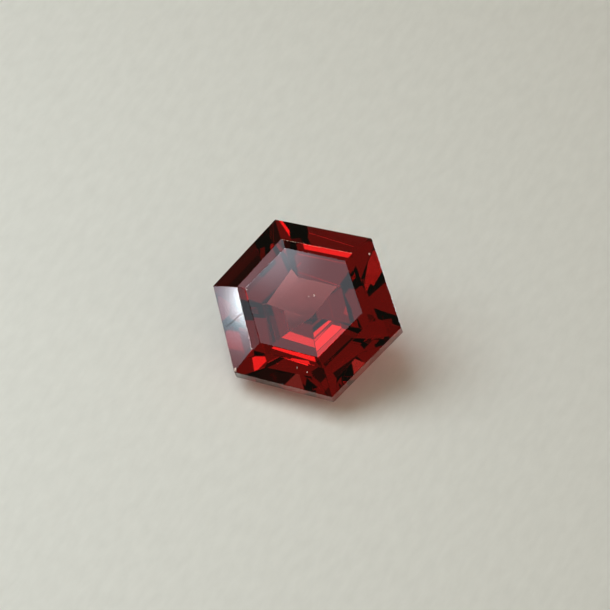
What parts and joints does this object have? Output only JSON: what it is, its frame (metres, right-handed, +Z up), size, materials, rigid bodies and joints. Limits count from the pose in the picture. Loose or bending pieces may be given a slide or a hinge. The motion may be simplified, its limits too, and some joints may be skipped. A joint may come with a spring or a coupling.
{
  "type": "garnet",
  "caption": "Loose dark red garnet in a hexagonal step cut, with a flat table, a thick polished girdle and a deep stepped pavilion, lying on one pavilion facet.",
  "frame": {"origin": "centre of the bounding box, on the surface that the stone rests on", "axes": "+Z up, out of the surface; the stone's table is tipped towards -Y, and +X runs roughly along the girdle side over the facet it rests on"},
  "size_m": [0.008, 0.0064, 0.0052],
  "materials": {
    "garnet": "transparent deep red crystal with polished flat facets and a smooth girdle wall"
  },
  "bodies": {
    "root": {"garnet": "garnet"}
  },
  "joints": []
}
